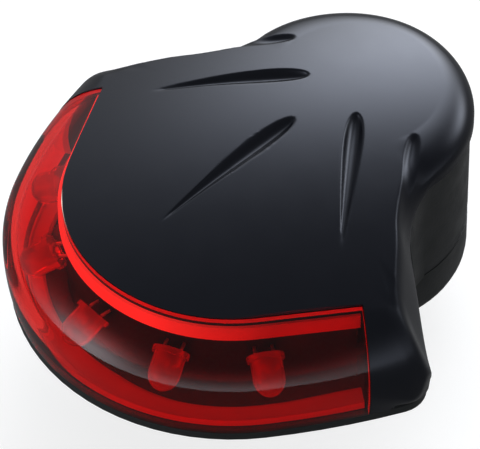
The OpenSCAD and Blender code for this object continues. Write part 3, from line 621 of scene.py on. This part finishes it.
def material(name, color, rough, metal=0.0, coat=0.0, trans=0.0, ior=1.5, tint=(1, 1, 1),
             glow=0.0, vary=0.25, patch=260.0, bump=0.05, grain=1400.0, stretch=(1, 1, 1)):
    """Moulded or drawn surface: roughness that varies in patches, and a fine grain as bump."""
    m = bpy.data.materials.new(name)
    m.use_nodes = True
    tree = m.node_tree
    b = tree.nodes["Principled BSDF"]
    b.inputs["Base Color"].default_value = (*color, 1)
    b.inputs["Metallic"].default_value = metal
    b.inputs["IOR"].default_value = ior
    b.inputs["Specular Tint"].default_value = (*tint, 1)
    b.inputs["Coat Weight"].default_value = coat
    b.inputs["Coat Roughness"].default_value = COAT_ROUGH
    b.inputs["Transmission Weight"].default_value = trans
    # Emission from glow is painted light, on parts that are no lamps
    b.inputs["Emission Color"].default_value = (*color, 1)
    b.inputs["Emission Strength"].default_value = glow
    coords = tree.nodes.new("ShaderNodeTexCoord")
    patches = noise_node(tree, coords, patch, PATCH_DETAIL, stretch)
    spread = map_range(tree, patches, NOISE_SPAN, (rough * (1 - vary), rough * (1 + vary)))
    tree.links.new(spread, b.inputs["Roughness"])
    lift = tree.nodes.new("ShaderNodeBump")
    lift.inputs["Strength"].default_value = bump
    lift.inputs["Distance"].default_value = BUMP_DEPTH
    fine = noise_node(tree, coords, grain, GRAIN_DETAIL, stretch)
    tree.links.new(fine, lift.inputs["Height"])
    tree.links.new(lift.outputs["Normal"], b.inputs["Normal"])
    return m


def fade_painted_glow(m, glow, ends):
    """Painted glow on a part that is no lamp, falling off to nothing along X so that one end looks
    lit.
    """
    tree = m.node_tree
    coords = tree.nodes.new("ShaderNodeTexCoord")
    split = tree.nodes.new("ShaderNodeSeparateXYZ")
    tree.links.new(coords.outputs["Object"], split.inputs["Vector"])
    fall = map_range(tree, split.outputs["X"], ends, (glow, 0.0))
    tree.links.new(fall, tree.nodes["Principled BSDF"].inputs["Emission Strength"])


def soften(obj):
    """Smooth shading over the small facets of a CAD node, with its edges kept."""
    if "custom_normal" in obj.data.attributes:
        obj.data.attributes.remove(obj.data.attributes["custom_normal"])
    obj.data.polygons.foreach_set("use_smooth", [True] * len(obj.data.polygons))
    weld = obj.modifiers.new("weld", "WELD")
    weld.merge_threshold = WELD_REACH
    split = obj.modifiers.new("split", "EDGE_SPLIT")
    split.split_angle = math.radians(SOFT_DEG)
    split.use_edge_sharp = False


looks = {slot: material(slot, color, rough, **rest)
         for slot, (color, rough, rest) in LOOKS.items()}
# Painted light: the ring glows though it is no lamp, brighter at its left end
fade_painted_glow(looks["reflector_pale"], RING_PAINTED_GLOW, RING_FADE)
for part in frame["record"]["subparts"]:
    mesh = nodes[part["node"]].data
    mesh.materials.clear()
    mesh.materials.append(looks[part["material_slot"]])
for name in SOFT_NODES:
    soften(nodes[name])

# Pieces that stand in for CAD nodes
cap = make_cap()
cap.data.materials.clear()
cap.data.materials.append(looks["cap_black"])
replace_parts(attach(cap, "light"), "top_cap")
# Frosted look with a faint painted glow: emission on faces that are no lamp
frosted = material("lens_frosted_glow", (0.85, 0.03, 0.02), 0.45, glow=0.08)
lens = make_lens()
frost_edges(lens, looks["lens_red"], frosted)
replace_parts(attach(lens, "light"), "lens")

# Pieces of the scene alone
foot = lens_foot()
# The foot takes the frosted look, with its faint painted glow
foot.data.materials.append(frosted)
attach(foot, "light")
cores = diode_cores()
cores.data.materials.append(looks["tinned_steel"])
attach(cores, "light")

# Floor: pale with the object's shadow for the camera, lifted towards white, dark in the gloss
FLOOR_HALF, FLOOR_Z = 3.0, -0.00005
FLOOR_DARK, FLOOR_PALE, FLOOR_ROUGH = 0.06, 0.3, 0.9
FLOOR_LIFTS = {"Is Camera Ray": 0.77, "Is Glossy Ray": 0.08, "Is Transmission Ray": 0.6}


def floor_look():
    m = bpy.data.materials.new("floor_pale")
    m.use_nodes = True
    tree = m.node_tree
    b = tree.nodes["Principled BSDF"]
    b.inputs["Roughness"].default_value = FLOOR_ROUGH
    b.inputs["Emission Color"].default_value = (1, 1, 1, 1)
    rays = tree.nodes.new("ShaderNodeLightPath").outputs
    to_camera = rays["Is Camera Ray"]
    color = math_node(tree, "MULTIPLY_ADD", to_camera, FLOOR_PALE - FLOOR_DARK, FLOOR_DARK)
    tree.links.new(color, b.inputs["Base Color"])
    total = 0.0
    for ray, lift in FLOOR_LIFTS.items():
        total = math_node(tree, "MULTIPLY_ADD", rays[ray], lift, total)
    tree.links.new(total, b.inputs["Emission Strength"])
    return m


corners = [(x * FLOOR_HALF, y * FLOOR_HALF, FLOOR_Z)
           for x, y in ((-1, -1), (1, -1), (1, 1), (-1, 1))]
floor = mesh_object("floor", corners, [[0, 1, 2, 3]])
floor.data.materials.append(floor_look())

# Camera at the photograph's viewing angle
AZ, EL = math.radians(49.3), math.radians(46.0)
DIST = 0.952
PX_PER_MM = 7.09
IMG_W, IMG_H = 480, 449
TARGET_PX = (231.5, 195.2)
SENSOR = 36
back = Vector((math.sin(AZ) * math.cos(EL), -math.cos(AZ) * math.cos(EL), math.sin(EL)))
target = Vector((0, Y_SHIFT, Z_EDGE + Z_SHIFT)) * MM
cam = bpy.data.objects.new("camera", bpy.data.cameras.new("camera"))
scene.collection.objects.link(cam)
cam.location = target + back * DIST
cam.rotation_euler = back.to_track_quat("Z", "Y").to_euler()
cam.data.sensor_fit = "HORIZONTAL"
cam.data.sensor_width = SENSOR
cam.data.lens = SENSOR * DIST / MM * PX_PER_MM / IMG_W
cam.data.shift_x = -(TARGET_PX[0] - IMG_W / 2) / IMG_W
cam.data.shift_y = (TARGET_PX[1] - IMG_H / 2) / IMG_W
cam.data.clip_end = 20
scene.camera = cam

# Studio light: soft lobes round the object, on a dim surround with a brighter horizon.
# Angles are in degrees: az from +Y towards +X, el up from level
SKY_COLOR = (0.92, 0.95, 1.0, 1)
SURROUND = 0.15
HORIZON_PEAK, HORIZON_REACH, HORIZON_DARK_AZ = 1.9, 0.3, -30
LOBES = [  # az, el, spread and peak
    (-37, 34, 14, 8.2),
    (-45, 30, 28, 0.5),
    (8, 24, 8, 5.0),
    (-162, 12, 13, 4.2),
]


def heading(az, el):
    a, e = math.radians(az), math.radians(el)
    return (math.sin(a) * math.cos(e), math.cos(a) * math.cos(e), math.sin(e))


def studio():
    world = bpy.data.worlds.new("studio")
    world.use_nodes = True
    tree = world.node_tree
    ground = tree.nodes["Background"]
    coords = tree.nodes.new("ShaderNodeTexCoord")

    def towards(direction):
        n = tree.nodes.new("ShaderNodeVectorMath")
        n.operation = "DOT_PRODUCT"
        tree.links.new(coords.outputs["Generated"], n.inputs[0])
        n.inputs[1].default_value = direction
        return n.outputs["Value"]

    def times(a, b):
        return math_node(tree, "MULTIPLY", a, b)

    up = towards((0, 0, 1))
    band = math_node(tree, "EXPONENT", times(times(up, up), -1 / HORIZON_REACH ** 2))
    away = math_node(tree, "MULTIPLY_ADD", towards(heading(HORIZON_DARK_AZ, 0)), -0.5, 0.5)
    horizon = times(times(band, times(away, away)), HORIZON_PEAK)
    total = math_node(tree, "ADD", horizon, SURROUND)
    for az, el, spread, peak in LOBES:
        fall = math_node(tree, "SUBTRACT", towards(heading(az, el)), 1.0)
        glow = math_node(tree, "EXPONENT", times(fall, 1 / math.radians(spread) ** 2))
        total = math_node(tree, "ADD", times(glow, peak), total)
    tree.links.new(total, ground.inputs["Strength"])
    ground.inputs["Color"].default_value = SKY_COLOR
    scene.world = world


studio()

scene.view_settings.view_transform = "Standard"
